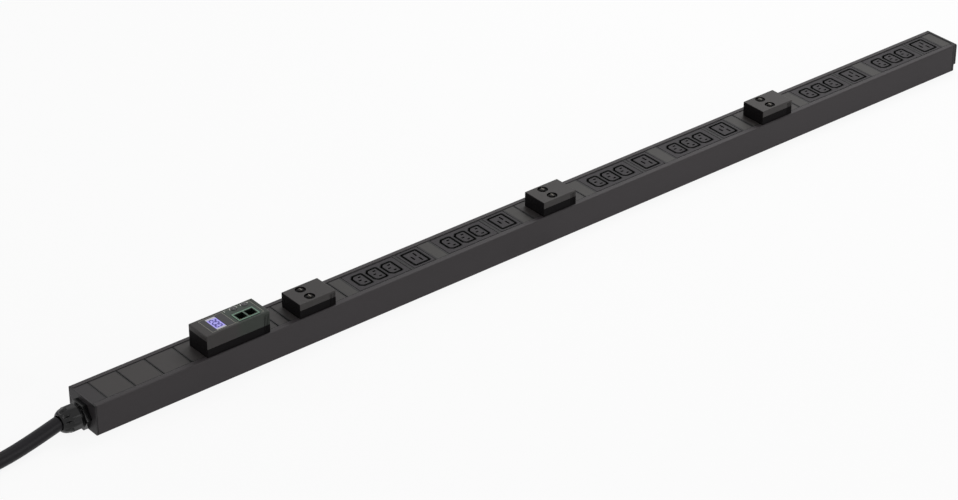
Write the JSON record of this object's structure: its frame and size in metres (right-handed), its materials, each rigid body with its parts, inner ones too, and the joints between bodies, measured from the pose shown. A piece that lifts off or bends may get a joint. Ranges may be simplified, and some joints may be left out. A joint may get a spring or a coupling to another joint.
{
  "type": "rack power distribution unit",
  "caption": "Long vertical power strip for an equipment rack, with grouped outlets, raised breaker housings, a metering display and a cable gland with its cord.",
  "frame": {"origin": "middle of the chassis's back face", "axes": "+X along the unit from the cable end to the far end, +Y across it, +Z out of the outlet face"},
  "size_m": [1.8715, 0.2545, 0.0747],
  "materials": {
    "chassis_paint": "fine satin powder coat",
    "plate_paint": "fine satin powder coat",
    "cap_plastic": "fine grain moulding",
    "housing_plastic": "fine grain moulding",
    "outlet_plastic": "smooth matt moulding",
    "breaker_plastic": "smooth moulding",
    "button_plastic": "satin moulding",
    "key_plastic": "satin moulding",
    "label_film": "printed film",
    "screen_glass": "clear window over a backlit display",
    "board": "solder mask",
    "jack_shell": "pale moulding",
    "contact_brass": "rolled strip",
    "wire_cover": "smooth insulation",
    "zinc_steel": "zinc plated",
    "black_steel": "black finish",
    "gland_plastic": "smooth nylon",
    "seal_rubber": "soft rubber",
    "cord_jacket": "smooth round jacket",
    "plug_plastic": "moulded"
  },
  "bodies": {
    "unit": {"chassis": "chassis_paint", "cable_end_plate": "chassis_paint", "far_end_cap": "cap_plastic", "blank_plate_1": "plate_paint", "blank_plate_2": "plate_paint", "blank_plate_3": "plate_paint", "display_plate": "plate_paint", "filler_plate": "plate_paint", "breaker_plate_1": "plate_paint", "breaker_plate_2": "plate_paint", "breaker_plate_3": "plate_paint", "outlet_plate_1": "plate_paint", "outlet_plate_2": "plate_paint", "outlet_plate_3": "plate_paint", "breaker_housing_1": "housing_plastic", "breaker_housing_2": "housing_plastic", "breaker_housing_3": "housing_plastic", "display_housing": "housing_plastic", "breaker_pair_1": "breaker_plastic", "breaker_pair_2": "breaker_plastic", "breaker_pair_3": "breaker_plastic", "small_outlet_bank_1": "outlet_plastic", "small_outlet_bank_2": "outlet_plastic", "small_outlet_bank_3": "outlet_plastic", "small_outlet_bank_4": "outlet_plastic", "small_outlet_bank_5": "outlet_plastic", "small_outlet_bank_6": "outlet_plastic", "large_outlet_1": "outlet_plastic", "large_outlet_2": "outlet_plastic", "large_outlet_3": "outlet_plastic", "large_outlet_4": "outlet_plastic", "large_outlet_5": "outlet_plastic", "large_outlet_6": "outlet_plastic", "line_bars": "contact_brass", "neutral_bar": "contact_brass", "earth_bar": "contact_brass", "supply_wires": "wire_cover", "display_label": "label_film", "display_screen": "screen_glass", "control_board": "board", "network_jack": "jack_shell", "end_screws": "black_steel", "mounting_nuts": "zinc_steel", "gland_body": "gland_plastic", "gland_cap_nut": "gland_plastic", "gland_seal": "seal_rubber", "gland_locknut": "gland_plastic", "cord_tube": "cord_jacket", "cord_coil": "cord_jacket", "cord_tail": "cord_jacket", "mains_plug": "plug_plastic"},
    "breaker_button_1_body": {"breaker_button_1": "button_plastic"},
    "breaker_button_2_body": {"breaker_button_2": "button_plastic"},
    "breaker_button_3_body": {"breaker_button_3": "button_plastic"},
    "breaker_button_4_body": {"breaker_button_4": "button_plastic"},
    "breaker_button_5_body": {"breaker_button_5": "button_plastic"},
    "breaker_button_6_body": {"breaker_button_6": "button_plastic"},
    "menu_key_body": {"menu_key": "key_plastic"},
    "reset_key_body": {"reset_key": "key_plastic"}
  },
  "joints": [
    {"name": "breaker_button_1_travel", "type": "slide", "parent": "unit", "child": "breaker_button_1_body", "axis": [0, 0, 1], "range_m": [0, 0.003]},
    {"name": "breaker_button_2_travel", "type": "slide", "parent": "unit", "child": "breaker_button_2_body", "axis": [0, 0, 1], "range_m": [0, 0.003]},
    {"name": "breaker_button_3_travel", "type": "slide", "parent": "unit", "child": "breaker_button_3_body", "axis": [0, 0, 1], "range_m": [0, 0.003]},
    {"name": "breaker_button_4_travel", "type": "slide", "parent": "unit", "child": "breaker_button_4_body", "axis": [0, 0, 1], "range_m": [0, 0.003]},
    {"name": "breaker_button_5_travel", "type": "slide", "parent": "unit", "child": "breaker_button_5_body", "axis": [0, 0, 1], "range_m": [0, 0.003]},
    {"name": "breaker_button_6_travel", "type": "slide", "parent": "unit", "child": "breaker_button_6_body", "axis": [0, 0, 1], "range_m": [0, 0.003]},
    {"name": "menu_key_travel", "type": "slide", "parent": "unit", "child": "menu_key_body", "axis": [0, 0, -1], "range_m": [0, 0.0008], "stiffness_N_per_m": 300, "springref_m": -0.002},
    {"name": "reset_key_travel", "type": "slide", "parent": "unit", "child": "reset_key_body", "axis": [0, 0, -1], "range_m": [0, 0.0008], "stiffness_N_per_m": 300, "springref_m": -0.002}
  ]
}
